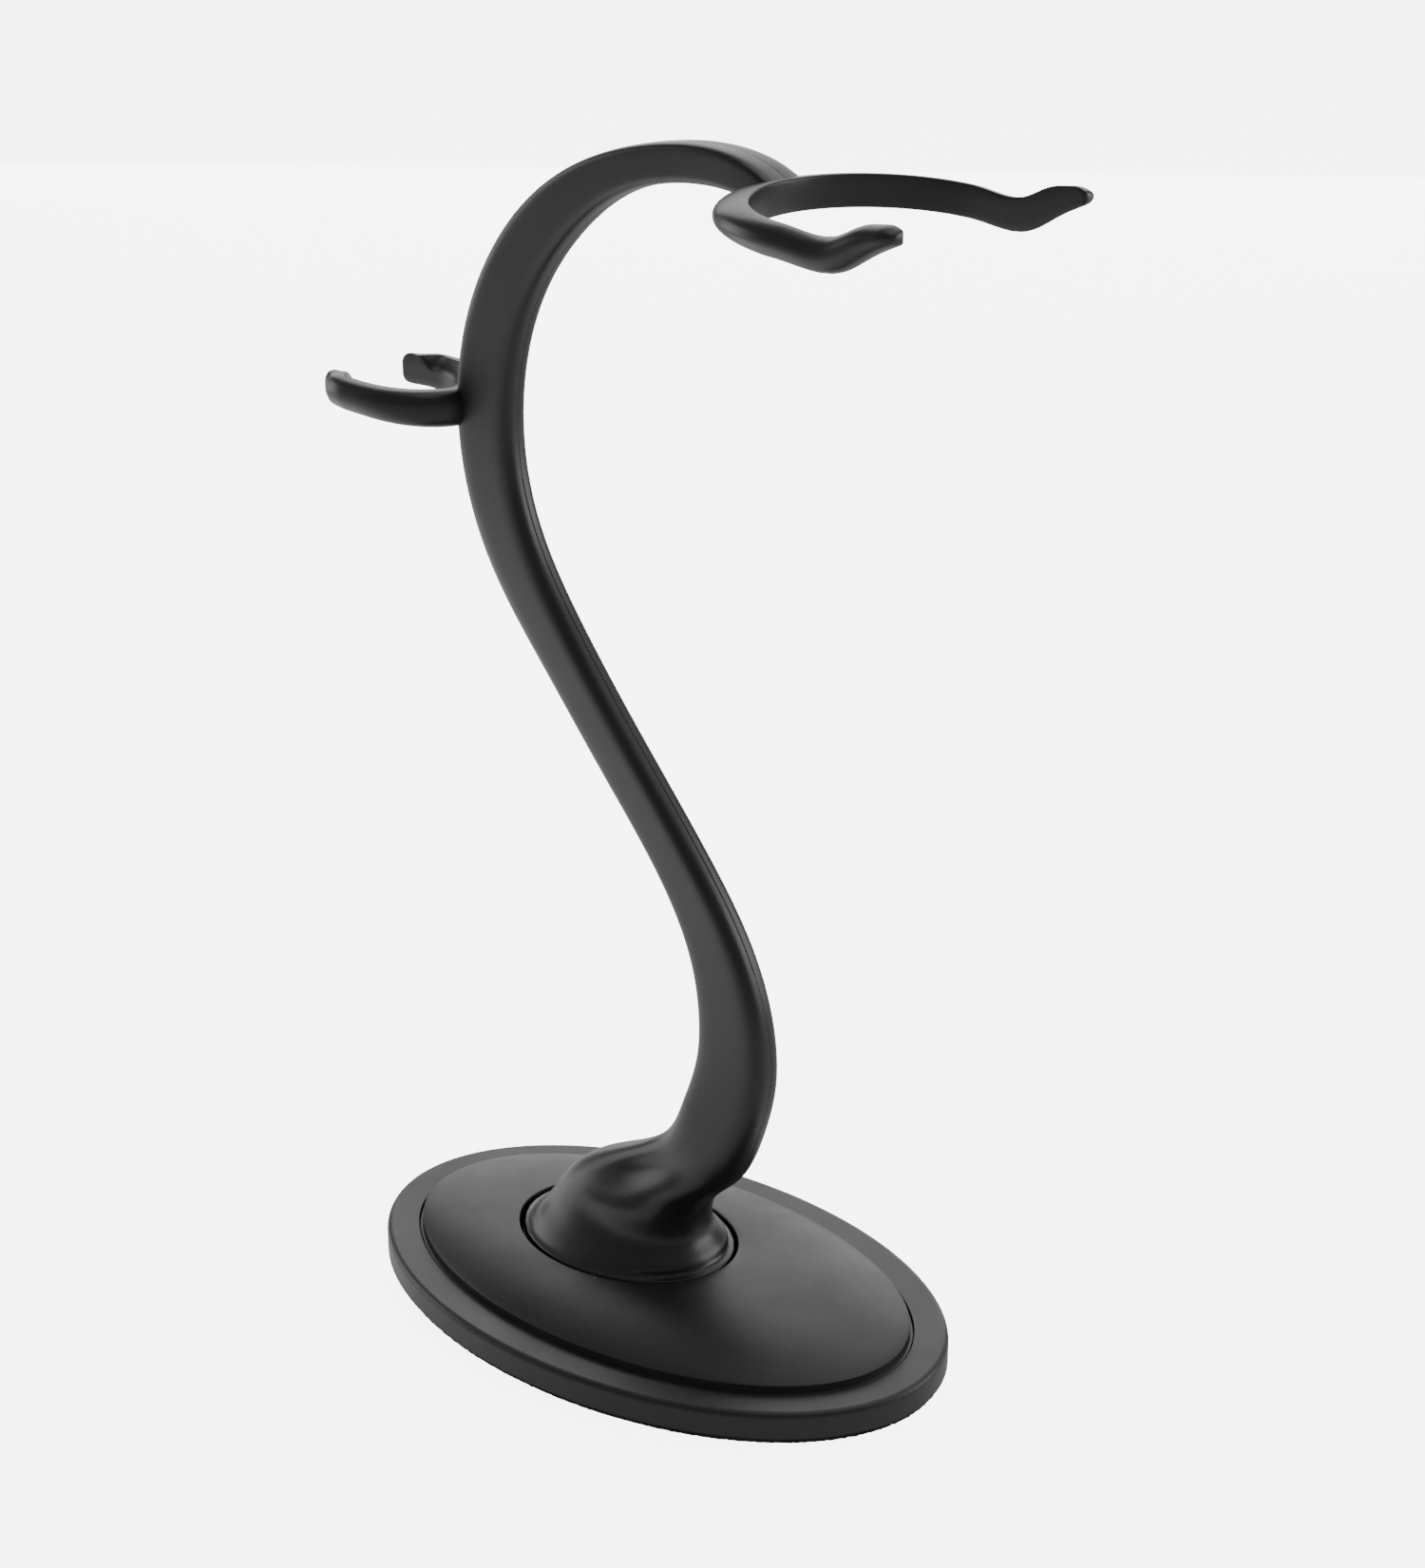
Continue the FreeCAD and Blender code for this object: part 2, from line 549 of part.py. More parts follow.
def make_fasteners(doc):
    """Inserts and screws, each kind in one node."""
    floor_low = read(doc, "pad_thick") + read(doc, "film_thick")
    plate_low = floor_low + read(doc, "floor_thick")
    plate_high = plate_low + read(doc, "plate_thick")
    outer, bore = read(doc, "insert_outer") / 2, read(doc, "insert_bore") / 2
    long = read(doc, "insert_length")
    knurl = 0.25
    insert = turned([(bore, 0), (outer - knurl, 0), (outer - knurl, 1), (outer, 1.3), (outer, 3.4),
                     (outer - knurl, 3.7), (outer - knurl, 4.3), (outer, 4.6), (outer, long), (bore, long)])
    shank, head = read(doc, "stem_bolt_shank") / 2, read(doc, "stem_bolt_head") / 2
    reach = read(doc, "stem_bolt_length")
    socket_half, socket_deep = 1.5, 1.6
    bolt = turned([(0, socket_deep), (socket_half, socket_deep), (socket_half, 0), (head, 0),
                   (shank, head - shank), (shank, reach - 0.8), (shank - 0.8, reach), (0, reach)])
    thin = read(doc, "tapping_shank") / 2
    pan, tall = read(doc, "pan_head") / 2, read(doc, "pan_height")
    weight_screw = turned([(0, -4.0), (thin, -3.0), (thin, 0), (pan, 0), (pan, tall * 0.5),
                           (pan * 0.6, tall), (1.2, tall), (0, tall - 1.0)])
    flat = read(doc, "cover_head") / 2
    deep = read(doc, "cover_screw_length")
    cover_screw = turned([(0, 0.9), (1.1, 0), (flat, 0), (thin, flat - thin), (thin, deep - 1.2), (0, deep)])
    weights = corner_places(read(doc, "weight_x"), read(doc, "weight_y"))
    covers = corner_places(read(doc, "cover_x"), read(doc, "cover_y"))
    return [make_repeated(doc, "stem_inserts", insert, STEM_BOLTS, plate_high + 0.2),
            make_repeated(doc, "stem_screws", bolt, STEM_BOLTS, plate_low + 0.05),
            make_repeated(doc, "weight_screws", weight_screw, weights, plate_high),
            make_repeated(doc, "cover_screws", cover_screw, covers, floor_low + 0.05)]


def check(doc, nodes):
    for obj in doc.Objects:
        if "Invalid" in obj.State or "Error" in obj.State:
            raise RuntimeError("failed object: %s %s" % (obj.Name, obj.State))
    for node in nodes:
        if node.Shape.isNull() or not node.Shape.isValid() or not node.Shape.Solids:
            raise RuntimeError("bad shape: " + node.Label)


def main():
    doc = FreeCAD.newDocument("headphone_stand")
    make_sheet(doc)
    nodes = [make_foot_pad(doc), make_pad_adhesive(doc), make_base_frame(doc), make_counterweight(doc),
             make_dome_cover(doc)]
    nodes += make_upper_parts(doc)
    nodes += make_fasteners(doc)
    doc.recompute()
    check(doc, nodes)
    os.makedirs("parts", exist_ok=True)
    for node in nodes:
        node.Shape.exportStep("parts/%s.step" % node.Label)
        box = node.Shape.BoundBox
        print("%-15s solids %d  volume %9.1f  x %6.1f %6.1f  y %6.1f %6.1f  z %6.1f %6.1f" % (
            node.Label, len(node.Shape.Solids), node.Shape.Volume, box.XMin, box.XMax, box.YMin, box.YMax,
            box.ZMin, box.ZMax))


main()
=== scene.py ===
"""Headphone stand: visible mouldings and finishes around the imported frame.

Metres, +Z up, +X towards the front fork, symmetrical about Y = 0.
"""

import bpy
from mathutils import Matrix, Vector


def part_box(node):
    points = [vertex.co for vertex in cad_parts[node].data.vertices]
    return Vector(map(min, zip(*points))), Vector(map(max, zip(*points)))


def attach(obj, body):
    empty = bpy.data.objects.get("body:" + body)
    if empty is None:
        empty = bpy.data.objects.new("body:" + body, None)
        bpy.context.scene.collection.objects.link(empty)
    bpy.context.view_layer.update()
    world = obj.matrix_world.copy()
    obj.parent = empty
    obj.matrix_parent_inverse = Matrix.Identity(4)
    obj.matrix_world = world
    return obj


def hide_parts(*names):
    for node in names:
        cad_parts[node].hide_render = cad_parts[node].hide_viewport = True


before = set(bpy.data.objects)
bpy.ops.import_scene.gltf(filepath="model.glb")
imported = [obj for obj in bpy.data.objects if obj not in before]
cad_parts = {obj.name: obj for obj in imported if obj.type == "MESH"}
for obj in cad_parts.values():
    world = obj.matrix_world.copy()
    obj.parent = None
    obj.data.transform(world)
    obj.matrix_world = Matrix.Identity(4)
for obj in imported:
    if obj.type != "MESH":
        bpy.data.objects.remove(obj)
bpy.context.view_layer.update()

import math

import bmesh
import bpy
import numpy as np
from bpy.props import FloatProperty, FloatVectorProperty, IntProperty, PointerProperty
from mathutils import Vector, noise

bl_info = {
    "name": "Headphone Stand",
    "version": (1, 0, 0),
    "blender": (4, 5, 0),
    "location": "3D View > Sidebar > Stand",
    "description": "Mouldings, finishes and studio of a weighted headphone stand",
    "category": "Add Mesh",
}

MM = 0.001
BODY = "root"
RIM_HIGH = Vector(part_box("base_frame")[1])
PAD_HIGH = Vector(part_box("foot_pad")[1])

# The base's mouldings.
RIM_BAND = 8.7 * MM
LIP_SINK = 0.4 * MM
LIP_EDGE = 0.15 * MM
COVER_WALL = 2.2 * MM
MOUTH_LENGTH, MOUTH_WIDTH, MOUTH_SHIFT = 31.9 * MM, 23.9 * MM, -10.6 * MM
MOUTH_EDGE = 0.3 * MM
# Inset and drop of the mouth's rings, and inset and height of the foam's rings, mm.
MOUTH_STEPS = ((0.09, 0.03), (0.22, 0.13), (0.3, 0.32), (0.3, 2.2))
FOAM_STEPS = ((3.0, 0.0), (0.25, 0.0), (0.05, 0.3), (0.0, 0.75), (0.06, 1.2), (0.3, 1.5), (3.0, 1.5))
# The collar at the stem's foot, mm: half length, half width, middle, top and depth of its edge.
COLLAR_LENGTH, COLLAR_WIDTH, COLLAR_SHIFT, COLLAR_TOP, COLLAR_DEEP = 30.7, 23.0, -10.3, 15.7, 2.8
FOOT_POWER = 2.3
COLLAR_POWER = 2.0

# The blade from the fork down to the neck, mm: centre x, centre z, half depth, half thickness.
BLADE = [
    (38.5, 289.7, 3.1, 6.3), (34.0, 291.4, 3.7, 6.1), (22.0, 293.6, 4.4, 5.2),
    (8.0, 293.1, 4.6, 4.5), (-8.0, 289.5, 5.1, 4.25), (-26.0, 280.0, 6.8, 4.25),
    (-42.0, 263.5, 8.2, 4.25), (-51.5, 242.5, 9.0, 4.25), (-53.2, 217.5, 9.0, 4.25),
    (-46.8, 195.5, 8.4, 4.25), (-30.5, 171.5, 7.2, 4.25), (-9.0, 145.5, 6.8, 4.25),
    (10.5, 122.0, 7.0, 4.3), (21.5, 104.0, 8.4, 4.5), (26.2, 88.5, 9.9, 4.8),
    (26.5, 73.0, 10.8, 5.4), (22.7, 60.0, 10.9, 6.4),
]
# The foot below the neck, mm: rear x, z, front x, z, half thickness,
# taper towards the rear and hollow in the flanks.
FOOT = [
    (3.5, 49.6, 27.2, 43.6, 8.4, 0.25, 0.06), (-6.0, 43.4, 21.8, 38.4, 10.8, 0.28, 0.22),
    (-15.5, 38.8, 16.6, 33.2, 13.0, 0.25, 0.20), (-24.2, 33.5, 14.3, 28.6, 14.8, 0.18, 0.05),
    (-29.9, 27.6, 13.9, 24.7, 15.5, 0.12, 0.02), (-33.4, 22.3, 15.2, 21.0, 17.0, 0.05, 0.0),
    (-36.4, 18.3, 17.6, 18.0, 19.6, 0.0, 0.0),
]
# The yokes, mm: half an ellipse and two straight arms in a sloping plane, then the tips.
FORK = {"centre": 67.3, "reach": 26.0, "half_gap": 32.0, "toe_in": 0.03, "kink": 80.0, "tip": 97.0,
        "low": 289.2, "high": 296.6, "slope": -0.097, "root_wall": 8.6, "arm_wall": 5.0, "way": 1.0,
        "round": 9.0, "power": 2.1, "bevel_width": 0.3, "bevel_drop": 0.3, "root_bevel": 0.3,
        "root_drop": 0.0, "notch": 0.0,
        "caps": ((0.93, 0.26), (0.78, 0.55), (0.52, 0.76), (0.2, 0.84))}
HOOK = {"centre": -85.5, "reach": 14.5, "half_gap": 12.3, "toe_in": 0.0, "kink": -88.5, "tip": -98.4,
        "low": 217.35, "high": 225.1, "slope": -0.088, "root_wall": 11.9, "arm_wall": 8.4, "way": -1.0,
        "round": 3.8, "power": 2.4, "bevel_width": 3.5, "bevel_drop": 1.8, "root_bevel": 7.0,
        "root_drop": 1.6, "notch": 0.28,
        "caps": ((0.86, 0.10), (0.6, 0.18), (0.2, 0.2))}
# Share of the way out, rise of the top, rise of the underside, share of the wall, share of the bevel.
FORK_TIP = [(0.0, 0.2, 0.0, 1.0, 1.0), (0.2, 1.5, 0.9, 1.0, 1.0), (0.45, 3.3, 3.2, 1.0, 1.0),
            (0.72, 3.9, 5.7, 1.0, 1.0), (0.88, 3.9, 6.9, 0.95, 1.0), (0.96, 3.4, 7.5, 0.84, 1.0)]
HOOK_TIP = [(0.0, 0.0, 0.0, 0.95, 1.0), (0.28, 0.0, 0.0, 0.84, 0.1), (0.55, -0.1, -0.1, 0.62, 0.1),
            (0.78, -0.1, 0.0, 0.42, 0.1), (0.91, -0.7, 0.4, 0.30, 0.1), (0.985, -1.9, 1.4, 0.20, 0.1)]


# ---------------------------------------------------------------- sizes and finishes

class StandSizes(bpy.types.PropertyGroup):
    seam_depth: FloatProperty(name="Seam depth", default=0.09 * MM, unit="LENGTH", precision=5,
                              description="Depth of the parting seam on the stem's front and rear edges")
    edge_radius: FloatProperty(name="Edge radius", default=0.45 * MM, unit="LENGTH", precision=5,
                               description="Rounding of the moulded edges")
    joint_gap: FloatProperty(name="Joint gap", default=0.2 * MM, unit="LENGTH", precision=5,
                             description="Gap between the cover and the rim")
    lip_width: FloatProperty(name="Lip width", default=1.0 * MM, unit="LENGTH", precision=5,
                             description="Width of the cover's lip around the dome")
    riser_top: FloatProperty(name="Riser top", default=10.3 * MM, unit="LENGTH", precision=5,
                             description="Height of the dome's upright edge")
    dome_top: FloatProperty(name="Dome top", default=16.2 * MM, unit="LENGTH", precision=5,
                            description="Height of the dome's crown")
    foam_tear: FloatProperty(name="Foam tear", default=0.35 * MM, unit="LENGTH", precision=5,
                             description="How ragged the cut edge of the foam is")
    around: IntProperty(name="Facets around", default=192, min=48, max=512,
                        description="Points around each oval")


class StandFinish(bpy.types.PropertyGroup):
    plastic: FloatVectorProperty(name="Plastic", subtype="COLOR", size=3, default=(0.0125, 0.0125, 0.0130),
                                 min=0.0, max=1.0, description="Colour of the moulded plastic")
    stem_roughness: FloatProperty(name="Stem roughness", default=0.34, subtype="FACTOR", min=0.0, max=1.0,
                                  description="Roughness of the stem, fork and hook")
    base_roughness: FloatProperty(name="Base roughness", default=0.42, subtype="FACTOR", min=0.0, max=1.0,
                                  description="Roughness of the base and dome")
    dust: FloatProperty(name="Dust", default=0.05, subtype="FACTOR", min=0.0, max=1.0,
                        description="Share of cells that hold a speck of dust")
    foam: FloatVectorProperty(name="Foam", subtype="COLOR", size=3, default=(0.011, 0.011, 0.011),
                              min=0.0, max=1.0, description="Colour of the foam sheet")


# ---------------------------------------------------------------- shader groups

def new_group(name, inputs, outputs):
    """A shader node group with float sockets, and its input and output nodes."""
    group = bpy.data.node_groups.new(name, "ShaderNodeTree")
    for socket, default in inputs:
        made = group.interface.new_socket(name=socket, in_out="INPUT", socket_type="NodeSocketFloat")
        made.default_value = default
    for socket in outputs:
        group.interface.new_socket(name=socket, in_out="OUTPUT", socket_type="NodeSocketFloat")
    return group, group.nodes.new("NodeGroupInput"), group.nodes.new("NodeGroupOutput")


def add(tree, kind, links=None, **settings):
    """A node with its settings, and with values or links for its inputs by name or number."""
    node = tree.nodes.new(kind)
    for key, value in settings.items():
        setattr(node, key, value)
    for key, value in (links or {}).items():
        socket = node.inputs[key]
        if isinstance(value, bpy.types.NodeSocket):
            tree.links.new(value, socket)
        else:
            socket.default_value = value
    return node


def remap(tree, value, low, high, to_low, to_high):
    node = add(tree, "ShaderNodeMapRange", {"Value": value, "From Min": low, "From Max": high,
                                            "To Min": to_low, "To Max": to_high})
    return node.outputs["Result"]


def math_node(tree, operation, first, second=0.0):
    return add(tree, "ShaderNodeMath", {0: first, 1: second}, operation=operation).outputs[0]


def make_grain_group():
    """Fine spark-eroded grain of a mould."""
    group, start, end = new_group("mould_grain", [("Scale", 5000.0)], ["Height"])
    where = add(group, "ShaderNodeTexCoord").outputs["Object"]
    fine = add(group, "ShaderNodeTexNoise", {"Vector": where, "Scale": start.outputs["Scale"],
                                             "Detail": 3.0, "Roughness": 0.6})
    cells = add(group, "ShaderNodeTexVoronoi", {"Vector": where, "Scale": start.outputs["Scale"]},
                feature="SMOOTH_F1")
    cells.inputs["Smoothness"].default_value = 0.7
    pits = math_node(group, "MULTIPLY", cells.outputs["Distance"], 0.5)
    group.links.new(math_node(group, "ADD", fine.outputs["Fac"], pits), end.inputs["Height"])


def make_mottle_group():
    """Soft variation between two values, a few centimetres wide at its usual scale."""
    group, start, end = new_group("soft_mottle", [("Scale", 25.0), ("Low", 0.0), ("High", 1.0)], ["Value"])
    where = add(group, "ShaderNodeTexCoord").outputs["Object"]
    slow = add(group, "ShaderNodeTexNoise", {"Vector": where, "Scale": start.outputs["Scale"],
                                             "Detail": 4.0, "Roughness": 0.55, "Distortion": 0.4})
    spread = remap(group, slow.outputs["Fac"], 0.3, 0.7, start.outputs["Low"], start.outputs["High"])
    group.links.new(spread, end.inputs["Value"])


def make_dust_group():
    """Sparse specks of dust that mostly keep to faces looking up."""
    group, start, end = new_group("dust_specks", [("Scale", 380.0), ("Share", 0.05), ("Size", 0.11)],
                                  ["Mask"])
    where = add(group, "ShaderNodeTexCoord").outputs["Object"]
    cells = add(group, "ShaderNodeTexVoronoi", {"Vector": where, "Scale": start.outputs["Scale"]})
    pick = add(group, "ShaderNodeSeparateColor", {"Color": cells.outputs["Color"]})
    chosen = math_node(group, "LESS_THAN", pick.outputs["Red"], start.outputs["Share"])
    reach = math_node(group, "MULTIPLY", start.outputs["Size"], pick.outputs["Green"])
    near = math_node(group, "LESS_THAN", cells.outputs["Distance"], reach)
    normal = add(group, "ShaderNodeNewGeometry").outputs["Normal"]
    facing = add(group, "ShaderNodeSeparateXYZ", {"Vector": normal})
    upward = remap(group, facing.outputs["Z"], -0.2, 0.6, 0.25, 1.0)
    speck = math_node(group, "MULTIPLY", math_node(group, "MULTIPLY", chosen, near), upward)
    group.links.new(speck, end.inputs["Mask"])


def make_scuff_group():
    """Short hairline marks from handling."""
    group, start, end = new_group("hairline_scuffs", [("Scale", 60.0), ("Amount", 0.5)], ["Mask"])
    where = add(group, "ShaderNodeTexCoord").outputs["Object"]
    stretch = add(group, "ShaderNodeMapping", {"Vector": where, "Rotation": (0.5, 0.2, 0.9),
                                               "Scale": (1.0, 14.0, 3.0)})
    lines = add(group, "ShaderNodeTexNoise", {"Vector": stretch.outputs["Vector"],
                                              "Scale": start.outputs["Scale"], "Detail": 5.0,
                                              "Roughness": 0.7})
    thin = remap(group, lines.outputs["Fac"], 0.66, 0.72, 0.0, 1.0)
    patches = add(group, "ShaderNodeTexNoise", {"Vector": where, "Scale": 45.0, "Detail": 2.0})
    handled = remap(group, patches.outputs["Fac"], 0.55, 0.7, 0.0, 1.0)
    marks = math_node(group, "MULTIPLY", thin, handled)
    group.links.new(math_node(group, "MULTIPLY", marks, start.outputs["Amount"]), end.inputs["Mask"])


def effect(tree, name, **values):
    """A shared effect placed in a material with its own values."""
    node = tree.nodes.new("ShaderNodeGroup")
    node.node_tree = bpy.data.node_groups[name]
    for key, value in values.items():
        node.inputs[key].default_value = value
    return node.outputs[0]


# ---------------------------------------------------------------- materials

DUST_COLOUR = (0.24, 0.24, 0.235)
GLOSS_SPREAD = 0.05
# Scale and depth of the grain.
STEM_GRAIN = (4200.0, 0.010 * MM)
BASE_GRAIN = (3300.0, 0.016 * MM)


def start_material(name, roughness, **sockets):
    """A node material, its tree and its shader with the values that are the same all over."""
    material = bpy.data.materials.new(name)
    material.use_nodes = True
    tree = material.node_tree
    shader = tree.nodes["Principled BSDF"]
    shader.inputs["Roughness"].default_value = roughness
    for socket, value in sockets.items():
        shader.inputs[socket.replace("_", " ")].default_value = value
    return material, tree, shader


def mix_colour(tree, mask, low, high):
    """A colour between two, each given as three numbers or as a socket."""
    node = add(tree, "ShaderNodeMix", {"Factor": mask}, data_type="RGBA")
    for name, value in (("A", low), ("B", high)):
        socket = next(s for s in node.inputs if s.name == name and s.type == "RGBA")
        if isinstance(value, bpy.types.NodeSocket):
            tree.links.new(value, socket)
        else:
            socket.default_value = (*value, 1.0)
    return next(s for s in node.outputs if s.type == "RGBA")


def bump(tree, shader, height, distance):
    node = add(tree, "ShaderNodeBump", {"Height": height, "Distance": distance, "Strength": 1.0})
    tree.links.new(node.outputs["Normal"], shader.inputs["Normal"])


def paint(tree, shader, colour, roughness):
    """Links a varying colour and roughness to a shader."""
    tree.links.new(colour, shader.inputs["Base Color"])
    tree.links.new(roughness, shader.inputs["Roughness"])


def shade(colour, factor):
    return tuple(channel * factor for channel in colour)


def moulded_plastic(name, colour, roughness, grain, dust):
    """Satin black moulding: fine grain, slow gloss variation, dust and a few hairlines."""
    material, tree, shader = start_material(name, roughness, Specular_IOR_Level=0.5, IOR=1.49)
    specks = effect(tree, "dust_specks", Share=dust)
    marks = effect(tree, "hairline_scuffs", Amount=0.5)
    tone = effect(tree, "soft_mottle", Scale=22.0)
    clean = mix_colour(tree, tone, shade(colour, 0.86), shade(colour, 1.16))
    marked = mix_colour(tree, math_node(tree, "MULTIPLY", marks, 0.35), clean, shade(colour, 4.0))
    dusty = mix_colour(tree, math_node(tree, "MULTIPLY", specks, 0.8), marked, DUST_COLOUR)
    gloss = effect(tree, "soft_mottle", Scale=38.0, Low=roughness - GLOSS_SPREAD,
                   High=roughness + GLOSS_SPREAD)
    rubbed = math_node(tree, "ADD", gloss, math_node(tree, "MULTIPLY", marks, 0.18))
    paint(tree, shader, dusty, math_node(tree, "ADD", rubbed, math_node(tree, "MULTIPLY", specks, 0.3)))
    grain_scale, grain_depth = grain
    pattern = effect(tree, "mould_grain", Scale=grain_scale)
    height = math_node(tree, "ADD", pattern, math_node(tree, "MULTIPLY", specks, 2.0))
    bump(tree, shader, height, grain_depth)
    return material


def foam_material(colour):
    """Closed-cell foam with open cells along its cut edge."""
    material, tree, shader = start_material("foam_sheet", 0.9, Specular_IOR_Level=0.25)
    where = add(tree, "ShaderNodeTexCoord").outputs["Object"]
    cells = add(tree, "ShaderNodeTexVoronoi", {"Vector": where, "Scale": 2600.0})
    tone = remap(tree, cells.outputs["Distance"], 0.0, 0.6, 0.0, 1.0)
    paint(tree, shader, mix_colour(tree, tone, shade(colour, 0.4), shade(colour, 1.9)),
          effect(tree, "soft_mottle", Scale=60.0, Low=0.82, High=0.98))
    bump(tree, shader, cells.outputs["Distance"], 0.12 * MM)
    return material


def film_material():
    """Cloudy adhesive film."""
    material, tree, shader = start_material("adhesive_film", 0.35)
    cloud = effect(tree, "soft_mottle", Scale=90.0)
    paint(tree, shader, mix_colour(tree, cloud, (0.60, 0.56, 0.42), (0.80, 0.77, 0.66)),
          effect(tree, "soft_mottle", Scale=200.0, Low=0.28, High=0.5))
    bump(tree, shader, effect(tree, "mould_grain", Scale=1500.0), 0.02 * MM)
    return material


def metal_material(name, low, high, roughness, stretch, depth):
    """Rolled or turned metal with fine streaks."""
    material, tree, shader = start_material(name, roughness, Metallic=1.0)
    where = add(tree, "ShaderNodeTexCoord").outputs["Object"]
    along = add(tree, "ShaderNodeMapping", {"Vector": where, "Scale": stretch})
    streaks = add(tree, "ShaderNodeTexNoise", {"Vector": along.outputs["Vector"], "Scale": 300.0,
                                               "Detail": 6.0, "Roughness": 0.65}).outputs["Fac"]
    tarnish = effect(tree, "soft_mottle", Scale=120.0)
    tone = math_node(tree, "MULTIPLY", math_node(tree, "ADD", streaks, tarnish), 0.5)
    paint(tree, shader, mix_colour(tree, tone, low, high),
          remap(tree, streaks, 0.3, 0.7, roughness - 0.08, roughness + 0.1))
    bump(tree, shader, streaks, depth)
    return material


def wear(obj, material):
    """Gives a node or piece one material in every slot."""
    mesh = obj.data
    if not mesh.materials:
        mesh.materials.append(material)
    for index in range(len(mesh.materials)):
        mesh.materials[index] = material


# ---------------------------------------------------------------- mesh helpers

def smooth_rows(rows, steps):
    """Rows on natural cubic curves through the given rows, spaced by their first four columns."""
    rows = np.array(rows, dtype=float)
    spans = np.maximum(np.linalg.norm(np.diff(rows[:, :4], axis=0), axis=1), 1e-6)
    count = len(rows)
    system = np.eye(count)
    target = np.zeros_like(rows)
    for i in range(1, count - 1):
        system[i, i - 1:i + 2] = spans[i - 1], 2.0 * (spans[i - 1] + spans[i]), spans[i]
        target[i] = 6.0 * ((rows[i + 1] - rows[i]) / spans[i] - (rows[i] - rows[i - 1]) / spans[i - 1])
    bend = np.linalg.solve(system, target)
    out = []
    for i, span in enumerate(spans):
        for step in range(steps + (i == count - 2)):
            b = step / steps
            a = 1.0 - b
            out.append(a * rows[i] + b * rows[i + 1]
                       + ((a ** 3 - a) * bend[i] + (b ** 3 - b) * bend[i + 1]) * span ** 2 / 6.0)
    return out


def skin(name, rings, loop=False):
    """A skin of quads over rings of equally many points, closed at its ends or round to its start."""
    mesh = bmesh.new()
    rows = [[mesh.verts.new(point) for point in ring] for ring in rings]
    around = len(rows[0])
    if loop:
        rows.append(rows[0])
    for near, far in zip(rows, rows[1:]):
        for i in range(around):
            j = (i + 1) % around
            mesh.faces.new((near[i], near[j], far[j], far[i]))
    if not loop:
        mesh.faces.new(list(reversed(rows[0])))
        mesh.faces.new(rows[-1])
    bmesh.ops.recalc_face_normals(mesh, faces=mesh.faces)
    data = bpy.data.meshes.new(name)
    mesh.to_mesh(data)
    mesh.free()
    return data


def show(name, data, material, slot, *nodes, crisp=35.0):
    """Links a mesh as a piece that rides on the stand and stands for its CAD nodes."""
    obj = bpy.data.objects.new(name, data)
    bpy.context.scene.collection.objects.link(obj)
    data.materials.append(material)
    data.shade_smooth()
    data.set_sharp_from_angle(angle=math.radians(crisp))
    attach(obj, BODY)
    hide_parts(*nodes)


def shrunk(ring, share, shift):
    """A copy of a ring drawn towards its own middle and moved, for rounded ends."""
    middle = sum(ring, Vector()) / len(ring)
    return [middle + (point - middle) * share + shift for point in ring]


# ---------------------------------------------------------------- stem

STEM_ANGLE_POWER = 2.6
STATION_STEPS = 8
CURVE_STEPS = 7
TOP_POWER, POWER_FALL, FALL_STATIONS = 4.6, 1.3, 9.0
BLADE_THINNING = 0.98
DIMPLE_AT, DIMPLE_SPREAD = -0.35, 0.46
SEAM_FROM, SEAM_FADE = 22.0, 20.0
EDGE_SHARES = (0.0, 0.018, 0.036, 0.08, 0.16, 0.28, 0.42, 0.56, 0.70, 0.81)
SIDE_SHARES = (0.68, 0.58, 0.46, 0.34, 0.22, 0.11, 0.0)


def section_angles(power):
    """Angles round a section, close together at the front and rear edges where the seam runs."""
    by_edge = [math.asin(share ** (power / 2.0)) for share in EDGE_SHARES]
    by_side = [math.acos(share ** (power / 2.0)) for share in SIDE_SHARES]
    quarter = by_edge + [angle for angle in by_side if angle > by_edge[-1] + 0.02]
    half = quarter + [math.pi - angle for angle in reversed(quarter[:-1])]
    return half + [2.0 * math.pi - angle for angle in reversed(half[1:-1])]


def signed_power(value, power):
    return math.copysign(abs(value) ** power, value)


def stem_ring(rear, front, half_thick, power, taper, hollow, seam, angles):
    """One section of the stem through its rear and front points."""
    centre = (rear + front) * 0.5
    across = (front - rear) * 0.5
    flatness = 1.0 + 0.6 * min(1.0, max(0.0, power - FOOT_POWER))
    ring = []
    for angle in angles:
        u = signed_power(math.cos(angle), 2.0 / (power * flatness))
        v = signed_power(math.sin(angle), 2.0 / power)
        squeeze = 1.0 - taper * (1.0 - u) / 2.0 - hollow * math.exp(-((u - DIMPLE_AT) / DIMPLE_SPREAD) ** 2)
        point = centre + across * u + Vector((0, v * half_thick * squeeze, 0))
        if abs(v) < 0.01:
            point -= across.normalized() * u * seam
        ring.append(point)
    return ring


def collar_ring(inset, height, angles):
    """A level section of the oval collar, drawn in from its full size."""
    half_length, half_width = COLLAR_LENGTH - inset, COLLAR_WIDTH - inset
    return stem_ring(Vector((COLLAR_SHIFT - half_length, 0, height)),
                     Vector((COLLAR_SHIFT + half_length, 0, height)),
                     half_width, COLLAR_POWER, 0.0, 0.0, 0.0, angles)


